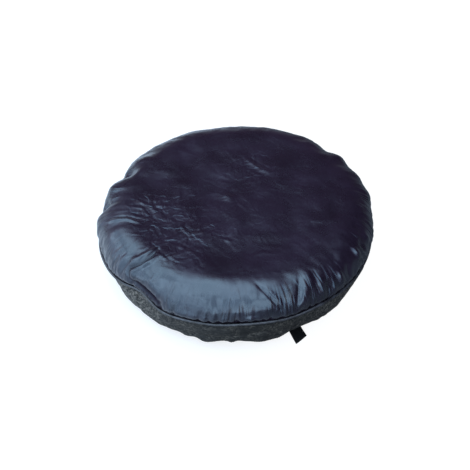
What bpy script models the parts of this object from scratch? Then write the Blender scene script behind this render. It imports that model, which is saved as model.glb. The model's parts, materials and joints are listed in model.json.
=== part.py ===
"""Spare tyre cover: a vinyl face panel and a two-length side band, joined by a welted seam, drawn in
by an elastic hem, with a webbing pull tab. It stands as it does over its tyre, face up.

Metres, +Z up. The origin is on the floor, on the axis of the tyre. Front is -Y.
"""

import math

import bmesh
import bpy
from mathutils import Matrix, Vector

# Cloth and clearances
VINYL = 0.0010            # thickness of the vinyl sheet
PLY_GAP = 0.0003          # air between plies that lie on each other
WEBBING = 0.0016          # thickness of the pull tab's webbing
PITCH = VINYL + PLY_GAP   # from the middle of one ply to the middle of the next

# Face panel, drawn over the tyre's side and tread
BULGE_RADIUS = 0.3450     # the widest place, half way down the tread
BULGE_HEIGHT = 0.1220
CROWN_HEIGHT = 0.1900     # floor to the top of the face
FLAT_RADIUS = 0.2600      # where the shoulder starts to roll over
WELL_RADIUS = 0.1900      # the wheel's well, into which the face dips
WELL_DIP = 0.0040
SHOULDER_ROUND = 2.2      # exponent of the shoulder's curve, 2 is an ellipse

# Welted seam between the face and the band
SEAM_RADIUS = 0.3405      # outside of the band at its top fold
SEAM_HEIGHT = 0.1000      # middle of the band's top fold
ALLOWANCE = 0.0120        # cloth turned in behind the seam
WELT_CORD = 0.0040        # diameter of the filler cord
CORD_SIDES = 8

# Side band and its hem
HEM_RADIUS = 0.2960       # outside of the band at the floor
BAND_CURVE = 2.2          # how late the band turns in under the tyre
CASING = 0.0170           # height of the hem's casing
CASING_FLOOR = 0.0056     # width of the fold that the hem stands on
ELASTIC_WIDTH = 0.0080
ELASTIC_THICK = 0.0014
ELASTIC_EASE = 0.0012     # air on each side of the elastic in its casing
JOIN_GAP = 0.0004         # between the ends of the band's two lengths

# Gathers and puckers, as main folds
STEPS = 72                # divisions of a full turn
GATHERS = 12              # scallops that the elastic draws into the hem
HEM_LIFT = 0.0095         # how far a scallop stands off the floor
HEM_DRAW = 0.0040         # how far it is drawn in
PUCKERS = 18              # pleats of the face above the seam
PUCKER_DEPTH = 0.0030

# Pull tab
TAB_AZIMUTH = math.radians(-63)   # from +X, so a little to the right of the front
TAB_WIDTH = 0.0320
TAB_LENGTH = 0.0430
TAB_CLEARANCE = 0.0012            # off the hem, whose scallop comes down beside the tab
TAB_REST = 0.0005                 # from its free end to the floor
HINGE_ROOM = 0.0001               # from the hinge to the free piece, so that it can turn

STEP_ANGLE = 2 * math.pi / STEPS
FIRST_AZIMUTH = TAB_AZIMUTH + STEP_ANGLE / 2     # the tab sits in the middle of a facet
JOIN_AZIMUTH = FIRST_AZIMUTH - 15 * STEP_ANGLE   # left of the front

VINYL_BLACK = (0.012, 0.012, 0.018, 1)
BAND_BLACK = (0.022, 0.023, 0.025, 1)
CORD_WHITE = (0.70, 0.68, 0.62, 1)
ELASTIC_BLACK = (0.030, 0.030, 0.032, 1)
WEBBING_BLACK = (0.008, 0.008, 0.008, 1)


def clear_scene():
    for obj in list(bpy.data.objects):
        bpy.data.objects.remove(obj, do_unlink=True)


def finish_of(name, colour, roughness):
    material = bpy.data.materials.new(name)
    material.use_nodes = True
    shader = material.node_tree.nodes["Principled BSDF"]
    shader.inputs["Base Color"].default_value = colour
    shader.inputs["Roughness"].default_value = roughness
    shader.inputs["Metallic"].default_value = 0.0
    return material


# Profiles, as (radius, height) pairs

def band_radius(height):
    """Outside radius of the side band, which hangs straight and then turns in under the tyre."""
    fall = min(max(1 - height / SEAM_HEIGHT, 0), 1)
    return SEAM_RADIUS - (SEAM_RADIUS - HEM_RADIUS) * fall**BAND_CURVE


def band_ply(height, ply=0):
    """Middle of a ply that lies behind the band: 0 is the band itself, 1 its own allowance."""
    return (band_radius(height) - VINYL / 2 - ply * PITCH, height)


def hem_offset(height, inwards):
    """A point on the inner side of the hem, measured square to the band."""
    step = 0.001
    lower, upper = Vector(band_ply(height - step)), Vector(band_ply(height + step))
    along = (upper - lower).normalized()
    square = Vector((-along.y, along.x))
    return tuple(Vector(band_ply(height)) + square * inwards)


def welt_radius():
    """Middle of the wrap's ply round the cord."""
    return WELT_CORD / 2 + PLY_GAP + VINYL / 2


def welt_centre():
    """The cord lies on the outer edge of the band's top fold."""
    off = welt_radius() + VINYL / 2 + PLY_GAP
    lean = math.radians(66)
    return (SEAM_RADIUS + off * math.cos(lean), SEAM_HEIGHT + VINYL / 2 + off * math.sin(lean))


def face_profile():
    """From the centre of the face out over the shoulder, over the welt, and in behind the seam."""
    points = [(0, CROWN_HEIGHT - WELL_DIP), (WELL_RADIUS, CROWN_HEIGHT - WELL_DIP / 2)]
    for turn in (0, 35, 62, 90):
        angle = math.radians(turn)
        across = math.sin(angle) ** (2 / SHOULDER_ROUND)
        down = math.cos(angle) ** (2 / SHOULDER_ROUND)
        points.append((FLAT_RADIUS + (BULGE_RADIUS - FLAT_RADIUS) * across,
                       BULGE_HEIGHT + (CROWN_HEIGHT - BULGE_HEIGHT) * down))
    welt_r, welt_z = welt_centre()
    over_welt = welt_radius() + PITCH
    lean = math.radians(78)
    edge_z = welt_z + 1.15 * over_welt * math.sin(lean)
    points.append((welt_r + 1.15 * over_welt * math.cos(lean), edge_z))
    points.append((band_ply(SEAM_HEIGHT, 4)[0], edge_z - 0.6 * over_welt))
    points.append(band_ply(SEAM_HEIGHT - ALLOWANCE, 4))
    return points


def welt_wrap_profile():
    """Two plies up behind the band, then out and round the cord."""
    centre_r, centre_z = welt_centre()
    radius = welt_radius()
    opening = math.asin(0.5 * PITCH / radius)
    lower = (band_ply(SEAM_HEIGHT, 2)[0], SEAM_HEIGHT + PITCH)
    upper = (band_ply(SEAM_HEIGHT, 3)[0], SEAM_HEIGHT + 2 * PITCH)
    mouth = math.atan2((lower[1] + upper[1]) / 2 - centre_z, (lower[0] + upper[0]) / 2 - centre_r)
    points = [band_ply(SEAM_HEIGHT - ALLOWANCE, 2), lower]
    for index in range(CORD_SIDES + 1):
        angle = mouth + opening + (2 * math.pi - 2 * opening) * index / CORD_SIDES
        points.append((centre_r + radius * math.cos(angle), centre_z + radius * math.sin(angle)))
    points += [upper, band_ply(SEAM_HEIGHT - ALLOWANCE, 3)]
    return points


def welt_cord_section():
    centre_r, centre_z = welt_centre()
    turns = [math.pi * (2 * index + 1) / CORD_SIDES for index in range(CORD_SIDES)]
    return [(centre_r + WELT_CORD / 2 * math.cos(a), centre_z + WELT_CORD / 2 * math.sin(a)) for a in turns]


def channel():
    """From the band's ply to the casing's inner ply, round the elastic."""
    return VINYL + 2 * ELASTIC_EASE + ELASTIC_THICK


def casing_heel():
    """Where the casing turns up from the floor on its inner side."""
    return (HEM_RADIUS - VINYL / 2 - CASING_FLOOR * 1.1, VINYL / 2 + CASING_FLOOR * 0.45)


def band_profile():
    """Down from the turned-in allowance, over the top fold, down the band and round the hem's casing."""
    points = [band_ply(SEAM_HEIGHT - ALLOWANCE, 1), band_ply(SEAM_HEIGHT, 1), band_ply(SEAM_HEIGHT)]
    wall = SEAM_HEIGHT - CASING
    points += [band_ply(CASING + wall * share) for share in (0.70, 0.40, 0.16)]
    points.append(band_ply(CASING * 0.55))
    points += [(HEM_RADIUS - VINYL / 2, VINYL / 2), (HEM_RADIUS - VINYL / 2 - CASING_FLOOR, VINYL / 2)]
    points += [casing_heel(), hem_offset(CASING * 0.55, channel()), hem_offset(CASING * 0.95, channel())]
    points.append(hem_offset(CASING * 1.20, PITCH))
    return points


def elastic_section():
    """A flat strip in the middle of the casing."""
    low, high = Vector(band_ply(VINYL / 2)), Vector(band_ply(CASING * 0.88))
    along = (high - low).normalized() * ELASTIC_WIDTH / 2
    square = Vector((-along.y, along.x)).normalized() * ELASTIC_THICK / 2
    centre = Vector(hem_offset(CASING * 0.48, channel() / 2))
    corners = (along - square, along + square, -along + square, -along - square)
    return [tuple(centre + corner) for corner in corners]


# How the cloth settles: the same gathers and puckers move every piece, so that plies stay nested

def scallop(azimuth):
    """0 where the hem stands on the floor, up to 1 where it is gathered up."""
    phase = GATHERS * (azimuth - TAB_AZIMUTH) + math.pi
    return max(0, (0.5 - math.cos(phase)) / 1.5)


def pucker(azimuth, height):
    """Share of the pucker depth on the face, none at the seam or on the crown."""
    low, high = SEAM_HEIGHT + 6 * PITCH, CROWN_HEIGHT
    share = min(max((height - low) / (high - low), 0), 1)
    swell = math.sin(math.pi * share**0.6) ** 2
    return swell * (0.5 - 0.5 * math.cos(PUCKERS * (azimuth - FIRST_AZIMUTH)))


def settle(point):
    radius, azimuth = math.hypot(point.x, point.y), math.atan2(point.y, point.x)
    fall = min(max(1 - point.z / SEAM_HEIGHT, 0), 1)
    gather = scallop(azimuth)
    height = point.z + HEM_LIFT * gather * fall**3
    radius -= HEM_DRAW * gather * fall**2 + PUCKER_DEPTH * pucker(azimuth, point.z)
    return Vector((radius * math.cos(azimuth), radius * math.sin(azimuth), height))


# Builders

def link(obj, material):
    obj.data.materials.append(material)
    bpy.data.collections["spare_tyre_cover"].objects.link(obj)
    return obj


def turned(name, profile, start, sweep, steps, closed=False):
    """The mesh that a profile makes when it is turned about Z, settled into its gathers."""
    mesh = bpy.data.meshes.new(name)
    corners = [(radius, 0, height) for radius, height in profile]
    edges = [(i, i + 1) for i in range(len(corners) - 1)]
    if closed:
        edges.append((len(corners) - 1, 0))
    mesh.from_pydata(corners, edges, [])
    blank = bpy.data.objects.new(name + "_profile", mesh)
    bpy.context.scene.collection.objects.link(blank)
    screw = blank.modifiers.new("turn", "SCREW")
    screw.axis = "Z"
    screw.angle = sweep
    screw.steps = screw.render_steps = steps
    screw.use_merge_vertices = True
    screw.merge_threshold = 0.00005
    screw.use_normal_calculate = True
    graph = bpy.context.evaluated_depsgraph_get()
    shape = bpy.data.meshes.new_from_object(blank.evaluated_get(graph))
    bpy.data.objects.remove(blank)
    shape.name = name
    shape.transform(Matrix.Rotation(start, 4, "Z"))
    for vertex in shape.vertices:
        if math.hypot(vertex.co.x, vertex.co.y) > PLY_GAP:
            vertex.co = settle(vertex.co)
    face_outwards(shape)
    return shape


def face_outwards(mesh):
    work = bmesh.new()
    work.from_mesh(mesh)
    bmesh.ops.recalc_face_normals(work, faces=work.faces)
    work.to_mesh(mesh)
    work.free()


def cloth(name, mesh, material, thickness=VINYL):
    """A sheet with its thickness, half to each side."""
    obj = bpy.data.objects.new(name, mesh)
    mesh.shade_smooth()
    solidify = obj.modifiers.new("thickness", "SOLIDIFY")
    solidify.thickness = thickness
    solidify.offset = 0
    solidify.use_even_offset = True
    solidify.use_quality_normals = True
    return link(obj, material)


def make_face_panel(vinyl):
    sheet = turned("face_panel", face_profile(), FIRST_AZIMUTH, 2 * math.pi, STEPS)
    cloth("face_panel", sheet, vinyl)


def make_welt(vinyl, cord):
    wrap = turned("welt_wrap", welt_wrap_profile(), FIRST_AZIMUTH, 2 * math.pi, STEPS)
    cloth("welt_wrap", wrap, vinyl)
    filler = turned("welt_cord", welt_cord_section(), FIRST_AZIMUTH, 2 * math.pi, STEPS, closed=True)
    filler.shade_smooth()
    link(bpy.data.objects.new("welt_cord", filler), cord)


def make_side_band(name, start, band):
    """One of the two lengths that the band is cut in."""
    trim = JOIN_GAP / SEAM_RADIUS
    sheet = turned(name, band_profile(), start + trim / 2, math.pi - trim, STEPS // 2)
    cloth(name, sheet, band)


def make_hem_elastic(elastic):
    strip = turned("hem_elastic", elastic_section(), FIRST_AZIMUTH, 2 * math.pi, STEPS, closed=True)
    link(bpy.data.objects.new("hem_elastic", strip), elastic)


def tab_frame():
    """The tab's hinge: X runs along the hem, Y out from it, and the origin is under the scallop."""
    sole = settle(Vector((HEM_RADIUS * math.cos(FIRST_AZIMUTH), HEM_RADIUS * math.sin(FIRST_AZIMUTH), 0)))
    drop = TAB_CLEARANCE + WEBBING / 2
    radius = math.hypot(sole.x, sole.y) * math.cos(STEP_ANGLE / 2)
    place = Vector((radius * math.cos(TAB_AZIMUTH), radius * math.sin(TAB_AZIMUTH), sole.z - drop))
    return Matrix.Translation(place) @ Matrix.Rotation(TAB_AZIMUTH - math.pi / 2, 4, "Z")


def strap(name, route, frame, material):
    """Webbing along a route of (out, up) points, as wide as the tab."""
    mesh = bpy.data.meshes.new(name)
    work = bmesh.new()
    line = [work.verts.new((-TAB_WIDTH / 2, out, up)) for out, up in route]
    edges = [work.edges.new(pair) for pair in zip(line, line[1:])]
    swept = bmesh.ops.extrude_edge_only(work, edges=edges)["geom"]
    side = [item for item in swept if isinstance(item, bmesh.types.BMVert)]
    bmesh.ops.translate(work, verts=side, vec=(TAB_WIDTH, 0, 0))
    bmesh.ops.recalc_face_normals(work, faces=work.faces)
    work.to_mesh(mesh)
    work.free()
    obj = cloth(name, mesh, material, WEBBING)
    obj.matrix_world = frame
    return obj


def under_hem(point, frame):
    """A (radius, height) point of the hem, as (out, up) from the hinge once the hem is gathered."""
    radius, height = point
    gathered = settle(Vector((radius * math.cos(FIRST_AZIMUTH), radius * math.sin(FIRST_AZIMUTH), height)))
    hinge = frame.translation
    facet = math.hypot(gathered.x, gathered.y) * math.cos(STEP_ANGLE / 2)
    return (facet - math.hypot(hinge.x, hinge.y), gathered.z - hinge.z)


def make_tab_anchor(webbing):
    """The sewn end of the webbing, up the inside of the casing and under its fold to the hinge."""
    frame = tab_frame()
    stand = VINYL / 2 + TAB_CLEARANCE + WEBBING / 2
    top = under_hem(hem_offset(CASING * 0.85, channel() + stand), frame)
    middle = under_hem(hem_offset(CASING * 0.50, channel() + stand), frame)
    out, up = under_hem(casing_heel(), frame)
    fold = [(out - stand, up + stand / 2), (out - 0.8 * stand, 0)]
    end = -WEBBING / 2 - HINGE_ROOM / 2
    strap("tab_anchor", [top, middle, *fold, (end, 0)], frame, webbing)


def make_pull_tab(webbing):
    """The free end of the webbing, which turns on the fold and slopes down to the floor."""
    frame = tab_frame()
    fall = (frame.translation.z - WEBBING / 2 - TAB_REST) / TAB_LENGTH
    lie = frame @ Matrix.Rotation(-math.asin(fall), 4, "X")
    strap("pull_tab", [(HINGE_ROOM, 0), (TAB_LENGTH / 2, 0), (TAB_LENGTH, 0)], lie, webbing)


def main():
    clear_scene()
    parts = bpy.data.collections.new("spare_tyre_cover")
    bpy.context.scene.collection.children.link(parts)
    vinyl = finish_of("black_vinyl", VINYL_BLACK, 0.38)
    band = finish_of("grained_vinyl", BAND_BLACK, 0.55)
    cord = finish_of("cotton_cord", CORD_WHITE, 0.9)
    elastic = finish_of("elastic", ELASTIC_BLACK, 0.8)
    webbing = finish_of("webbing", WEBBING_BLACK, 0.8)
    make_face_panel(vinyl)
    make_welt(vinyl, cord)
    make_side_band("side_band_front", JOIN_AZIMUTH, band)
    make_side_band("side_band_rear", JOIN_AZIMUTH + math.pi, band)
    make_hem_elastic(elastic)
    make_tab_anchor(webbing)
    make_pull_tab(webbing)


main()
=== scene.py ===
"""Spare tyre cover, sewn from black vinyl, as it stands over its tyre: the photograph's view of it."""

import json
import math

import bpy
import numpy as np
from mathutils import Matrix, Vector


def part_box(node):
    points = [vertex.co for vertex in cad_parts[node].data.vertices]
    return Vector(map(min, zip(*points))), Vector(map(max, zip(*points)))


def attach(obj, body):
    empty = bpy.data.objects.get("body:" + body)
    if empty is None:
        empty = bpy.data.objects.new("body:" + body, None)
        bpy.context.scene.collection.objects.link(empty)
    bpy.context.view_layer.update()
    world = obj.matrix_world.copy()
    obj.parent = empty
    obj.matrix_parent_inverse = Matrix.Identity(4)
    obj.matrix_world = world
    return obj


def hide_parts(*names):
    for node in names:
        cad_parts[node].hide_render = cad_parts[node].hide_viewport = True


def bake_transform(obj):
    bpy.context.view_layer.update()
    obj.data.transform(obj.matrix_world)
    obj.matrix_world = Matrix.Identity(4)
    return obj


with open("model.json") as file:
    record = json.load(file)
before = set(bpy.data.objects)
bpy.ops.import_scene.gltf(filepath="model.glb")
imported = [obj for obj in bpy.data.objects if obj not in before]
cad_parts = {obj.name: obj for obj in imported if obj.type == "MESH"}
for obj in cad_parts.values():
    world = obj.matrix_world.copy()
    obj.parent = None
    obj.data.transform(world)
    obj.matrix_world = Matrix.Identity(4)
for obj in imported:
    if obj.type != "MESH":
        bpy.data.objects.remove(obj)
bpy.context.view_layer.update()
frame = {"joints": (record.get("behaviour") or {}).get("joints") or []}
scene = bpy.context.scene

# Sizes of the pieces, in metres and radians. Powers, shares and counts have no unit
VINYL = 0.0010
PLY_GAP = 0.0003
PITCH = VINYL + PLY_GAP
WEBBING = 0.0016
BULGE_RADIUS = 0.3450
BULGE_HEIGHT = 0.1220
CROWN_HEIGHT = 0.1900
FLAT_RADIUS = 0.2600
WELL_RADIUS = 0.1900
WELL_DIP = 0.0040
SHOULDER_ROUND = 2.2
SEAM_RADIUS = 0.3405
SEAM_HEIGHT = 0.1000
ALLOWANCE = 0.0120
WELT_CORD = 0.0040
HEM_RADIUS = 0.2960
BAND_CURVE = 2.2
CASING = 0.0170
CASING_FLOOR = 0.0056
ELASTIC_WIDTH = 0.0080
ELASTIC_THICK = 0.0014
ELASTIC_EASE = 0.0012
GATHERS = 12
HEM_LIFT = 0.0095
HEM_DRAW = 0.0040
TAB_AZIMUTH = math.radians(-63)
TAB_WIDTH = 0.0320
TAB_LENGTH = 0.0430
JOIN_AZIMUTH = TAB_AZIMUTH + math.radians(2.5 - 75)
JOIN_GAP = 0.0003
JOIN_TURN_IN = 0.0026
TAB_SKEW = 0.0030
TAB_SHEAR = 0.17
TAB_TWIST = 0.0065
STITCH_PITCH = 0.0055
STITCH_LENGTH = 0.0042
THREAD = 0.0008
BULGE_MM = 1000 * BULGE_RADIUS

# Points round the face's edge, and round the welt and the elastic
FACE_COLUMNS = 640
RING_COLUMNS = 360

# The photograph's camera, in metres and degrees
PICTURE_PIXELS = 470
CAMERA_RISE = 44.3
CAMERA_AIM = 0.09
CAMERA_DISTANCE = 1.8
CAMERA_ROLL = -0.88


# Profiles of the cut pieces, as (radius, height) pairs

def band_radius(height):
    """Radius of the band's outer side at a height."""
    fall = np.clip(1 - np.asarray(height) / SEAM_HEIGHT, 0, 1)
    return SEAM_RADIUS - (SEAM_RADIUS - HEM_RADIUS) * fall**BAND_CURVE


def band_ply(height, ply=0):
    """Middle of the band's vinyl at a height, or of the ply that lies so many plies behind it."""
    return (float(band_radius(height)) - VINYL / 2 - ply * PITCH, height)


def hem_offset(height, inwards):
    """A point that far in from the band, square to it."""
    lower = np.array(band_ply(height - 0.001))
    upper = np.array(band_ply(height + 0.001))
    along = (upper - lower) / np.linalg.norm(upper - lower)
    return tuple(np.array(band_ply(height)) + np.array((-along[1], along[0])) * inwards)


def welt_radius():
    """Radius of the middle of the strip, round the cord."""
    return WELT_CORD / 2 + PLY_GAP + VINYL / 2


def welt_centre():
    """Middle of the cord, which lies out of the seam and above it."""
    off = welt_radius() + VINYL / 2 + PLY_GAP
    lean = math.radians(50)
    return (SEAM_RADIUS + off * math.cos(lean), SEAM_HEIGHT + VINYL / 2 + off * math.sin(lean))


def rounded(points, passes):
    """Chaikin's corner cutting: each corner becomes two, so a fold gets its roundness."""
    points = np.array(points, float)
    for _ in range(passes):
        near = 0.75 * points[:-1] + 0.25 * points[1:]
        far = 0.25 * points[:-1] + 0.75 * points[1:]
        middle = np.stack([near, far], 1).reshape(-1, 2)
        points = np.vstack([points[:1], middle[1:-1], points[-1:]])
    return points


def on_path(stops, travelled, path):
    """Points of a path at distances along it. travelled is how far along it each of its own points lies."""
    return np.stack([np.interp(stops, travelled, path[:, axis]) for axis in range(path.shape[1])], -1)


def spaced(points, spacing):
    """The same line with points at about that spacing."""
    length = arc_length(points)
    count = max(2, int(round(length[-1] / spacing)) + 1)
    return on_path(np.linspace(0, length[-1], count), length, points)


def arc_length(points):
    return np.r_[0, np.cumsum(np.hypot(*np.diff(points, axis=0).T))]


def face_profile():
    """Out over the crown and the shoulder, over the welt, and in behind the seam."""
    crown = [(0, CROWN_HEIGHT - WELL_DIP), (WELL_RADIUS / 2, CROWN_HEIGHT - 0.85 * WELL_DIP)]
    crown += [(WELL_RADIUS, CROWN_HEIGHT - 0.45 * WELL_DIP), (0.23, CROWN_HEIGHT - 0.1 * WELL_DIP)]
    turn = np.linspace(0, math.pi / 2, 24)
    across = np.sin(turn) ** (2 / SHOULDER_ROUND)
    down = np.abs(np.cos(turn)) ** (2 / SHOULDER_ROUND)
    shoulder = np.stack([FLAT_RADIUS + (BULGE_RADIUS - FLAT_RADIUS) * across,
                         BULGE_HEIGHT + (CROWN_HEIGHT - BULGE_HEIGHT) * down], 1)
    welt_r, welt_z = welt_centre()
    groove = welt_radius() + PITCH
    tail = [(welt_r + 0.0022, welt_z + 1.42 * groove), (welt_r - 0.0050, welt_z + 1.16 * groove)]
    tail += [(band_ply(SEAM_HEIGHT, 4)[0], welt_z + 0.6 * groove), band_ply(SEAM_HEIGHT - ALLOWANCE, 4)]
    return rounded(np.vstack([crown, shoulder, tail]), 2)


def welt_wrap_profile():
    """Up from the seam, round the cord and back down into the seam."""
    centre_r, centre_z = welt_centre()
    radius = welt_radius()
    opening = math.asin(0.5 * PITCH / radius)
    lower = (band_ply(SEAM_HEIGHT, 2)[0], SEAM_HEIGHT + PITCH)
    upper = (band_ply(SEAM_HEIGHT, 3)[0], SEAM_HEIGHT + 2 * PITCH)
    mouth = math.atan2((lower[1] + upper[1]) / 2 - centre_z, (lower[0] + upper[0]) / 2 - centre_r)
    points = [band_ply(SEAM_HEIGHT - ALLOWANCE, 2), lower]
    for angle in np.linspace(mouth + opening, mouth + 2 * math.pi - opening, 20):
        points.append((centre_r + radius * math.cos(angle), centre_z + radius * math.sin(angle)))
    return np.array(points + [upper, band_ply(SEAM_HEIGHT - ALLOWANCE, 3)])


def channel():
    """Distance between the middles of the casing's two plies."""
    return VINYL + 2 * ELASTIC_EASE + ELASTIC_THICK


def band_profile():
    """Down from the turned-in edge, over the top fold, down the band and round the hem's casing."""
    points = [band_ply(SEAM_HEIGHT - ALLOWANCE, 1), band_ply(SEAM_HEIGHT, 1), band_ply(SEAM_HEIGHT)]
    points += [band_ply(height) for height in np.linspace(0.094, CASING * 0.4, 26)]
    floor_end = HEM_RADIUS - VINYL / 2 - CASING_FLOOR
    points += [(HEM_RADIUS - VINYL / 2, VINYL / 2), (floor_end, VINYL / 2)]
    points += [(floor_end - CASING_FLOOR * 0.1, VINYL / 2 + CASING_FLOOR * 0.45)]
    points += [hem_offset(CASING * 0.55, channel()), hem_offset(CASING * 0.95, channel())]
    points.append(hem_offset(CASING * 1.20, PITCH))
    return np.array(points)


def elastic_section():
    """Corners of the elastic's section, in the middle of the casing."""
    low = np.array(band_ply(VINYL / 2))
    high = np.array(band_ply(CASING * 0.88))
    along = (high - low) / np.linalg.norm(high - low)
    square = np.array((-along[1], along[0]))
    centre = np.array(hem_offset(CASING * 0.48, channel() / 2))
    half_width = along * ELASTIC_WIDTH / 2
    half_thick = square * ELASTIC_THICK / 2
    corners = [(1, -1), (1, 1), (-1, 1), (-1, -1)]
    return np.array([centre + a * half_width + b * half_thick for a, b in corners])


# How the cloth settles: one field moves every piece, so that plies stay nested

def turn_between(azimuth, middle):
    return (azimuth - middle + math.pi) % (2 * math.pi) - math.pi


def hump(value, middle, width):
    """One at the middle, falling off by that width to either side."""
    return np.exp(-(((value - middle) / width) ** 2))


def bell(azimuth, middle, width):
    """The same round the cover, with the middle and the width in degrees."""
    return hump(turn_between(azimuth, math.radians(middle)), 0, math.radians(width))


def scallop(azimuth):
    """The hem's large folds: how far up each one is drawn, from 0 to 1."""
    phase = GATHERS * (azimuth - TAB_AZIMUTH) + math.pi
    return np.clip((0.5 - np.cos(phase)) / 1.5, 0, None)


gather_phase = np.random.default_rng(27).uniform(0, 2 * math.pi, 5)


def fine_gathers(azimuth):
    """Small folds between the scallops, of uneven width and height."""
    slow = 0.7 * np.sin(5 * azimuth + gather_phase[0]) + 0.5 * np.sin(9 * azimuth + gather_phase[1])
    ruffle = np.sin(58 * azimuth + 2.2 * slow + gather_phase[2])
    swell = 0.6 + 0.4 * np.sin(7 * azimuth + gather_phase[3])
    return swell * ruffle + 0.35 * np.sin(31 * azimuth + gather_phase[4] + slow)


# Slack of the whole hem, and the size of its small folds, in metres
HEM_SLACK = 0.0025
HEM_RIPPLE = 0.0019

# Lumps of the hem that rest on the floor: azimuth and width in degrees, and how far out in metres
HEM_LUMPS = [
    (-124, 9, 0.0065), (-103, 3.2, 0.0095), (-93, 2.4, 0.0060), (-80, 4.5, 0.0060), (-72, 3.5, 0.0065),
    (-47, 5.0, 0.0050), (-146, 7, 0.0040), (-20, 8, 0.0040), (15, 6, 0.0050), (48, 5, 0.0045),
    (83, 7, 0.0055), (121, 5, 0.0045), (160, 7, 0.0050),
]

# Where the seam leaves its even circle: azimuth and width in degrees, how far in and how far up in metres
SEAM_PULLS = [(-133, 9, 0.0150, 0.0115), (-80, 40, 0.0060, 0.0100), (157, 11, 0.0085, 0.0)]
SEAM_FLARE = 0.0075


def settle(radius, azimuth, height):
    """Moves points of the even, sewn shape to where the worn cloth lies."""
    fall = np.clip(1 - height / SEAM_HEIGHT, 0, 1)
    gather = scallop(azimuth)
    free = 1 - bell(azimuth, math.degrees(TAB_AZIMUTH), 8)
    lump = free * (HEM_SLACK + sum(out * bell(azimuth, middle, width) for middle, width, out in HEM_LUMPS))
    ripple = HEM_RIPPLE * fine_gathers(azimuth) * free
    lifted = height + HEM_LIFT * gather * np.clip(1.2 - 90 * lump, 0.35, 1) * fall**3
    drawn = radius - HEM_DRAW * gather * fall**2 + ripple * fall**1.6 + lump * fall**1.5
    near_seam = hump(height, SEAM_HEIGHT + 0.004, 0.034)
    inwards = sum(into * bell(azimuth, middle, width) for middle, width, into, _ in SEAM_PULLS)
    upwards = sum(up * bell(azimuth, middle, width) for middle, width, _, up in SEAM_PULLS)
    sway = 0.0016 * np.sin(7 * azimuth + 0.6) + 0.0012 * np.sin(13 * azimuth + 2.0)
    flare = SEAM_FLARE * bell(azimuth, -164, 17) * hump(height, SEAM_HEIGHT + 0.004, 0.018)
    return drawn - inwards * near_seam + flare, lifted + (upwards + sway) * near_seam


# Folds of the face, written on its flat pattern: (x, y) in millimetres from the centre

def along_line(flat, line):
    """Signed distance to a line of points, and how far along it, from 0 to 1."""
    best = np.full(flat.shape[0], 1e9)
    side = np.zeros(flat.shape[0])
    place = np.zeros(flat.shape[0])
    line = np.array(line, float)
    total = arc_length(line)
    for start, end, before, after in zip(line, line[1:], total, total[1:]):
        run = end - start
        share = np.clip(((flat - start) @ run) / (run @ run), 0, 1)
        gap = flat - (start + share[:, None] * run)
        distance = np.hypot(gap[:, 0], gap[:, 1])
        nearer = distance < best
        sign = np.sign(run[0] * gap[:, 1] - run[1] * gap[:, 0])
        best = np.where(nearer, distance, best)
        side = np.where(nearer, sign * distance, side)
        place = np.where(nearer, (before + share * (after - before)) / total[-1], place)
    return side, place, best


def fold(flat, line, width, height, lean=0.0):
    """A ridge along a line that fades at its ends. lean adds a hollow on one side, as a crease has."""
    side, place, distance = along_line(flat, line)
    fade = np.sin(math.pi * np.clip(place, 0, 1)) ** 0.7
    return height * fade * (hump(distance, 0, width) - lean * hump(side, 1.5 * width, width))


def swelling(flat, place, width, height):
    """A round lump, or a dent where the height is negative."""
    gap = flat - np.array(place, float)
    return height * hump(np.hypot(gap[:, 0], gap[:, 1]), 0, width)


def uneven(flat, size, seed):
    """Smooth lumps of about that size, between -1 and 1."""
    lattice = np.random.default_rng(seed).uniform(-1, 1, (64, 64))
    place = flat / size + 32
    cell = np.floor(place).astype(int)
    part = place - cell
    part = part * part * (3 - 2 * part)
    cell = np.clip(cell, 0, 62)
    x, y = cell[:, 0], cell[:, 1]
    low = lattice[x, y] * (1 - part[:, 0]) + lattice[x + 1, y] * part[:, 0]
    high = lattice[x, y + 1] * (1 - part[:, 0]) + lattice[x + 1, y + 1] * part[:, 0]
    return low * (1 - part[:, 1]) + high * part[:, 1]


# How much is used of the width and the height of the crown's creases
CREASE_NARROWING = 0.9
CREASE_FLATTENING = 0.62

# Creases that the photograph shows on the crown: line, width and height in millimetres
CROWN_CREASES = [
    ([(-329, -62), (-265, -71), (-223, -88)], 5, 4.4),
    ([(-200, -151), (-150, -141), (-130, -88)], 5, 1.9),
    ([(-139, -87), (-111, -126), (-67, -114)], 5, 2.1),
    ([(-102, -114), (-46, -82)], 5, 1.7),
    ([(-210, -21), (-160, -28)], 5, 1.5),
    ([(-253, -1), (-210, -29), (-166, -75)], 5, 1.9),
    ([(-175, -151), (-135, -164), (-83, -200)], 5, 1.8),
    ([(-154, -199), (-100, -175)], 5, 1.5),
    ([(-143, 48), (-141, -35)], 6, 1.2),
    ([(-41, -139), (-2, -155)], 5, 1.8),
    ([(-199, -174), (-157, -211)], 5, 1.5),
    ([(-259, -28), (-214, -36)], 5, 1.6),
    ([(-254, -61), (-207, -68)], 5, 1.4),
    ([(26, 156), (68, 109), (92, 94)], 8, 3.4),
    ([(-33, 22), (-18, 6), (-3, -12)], 12, 4.2),
    ([(155, 40), (176, 28)], 6, 1.2),
    ([(20, -205), (60, -188), (95, -196)], 6, 1.3),
]

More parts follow.
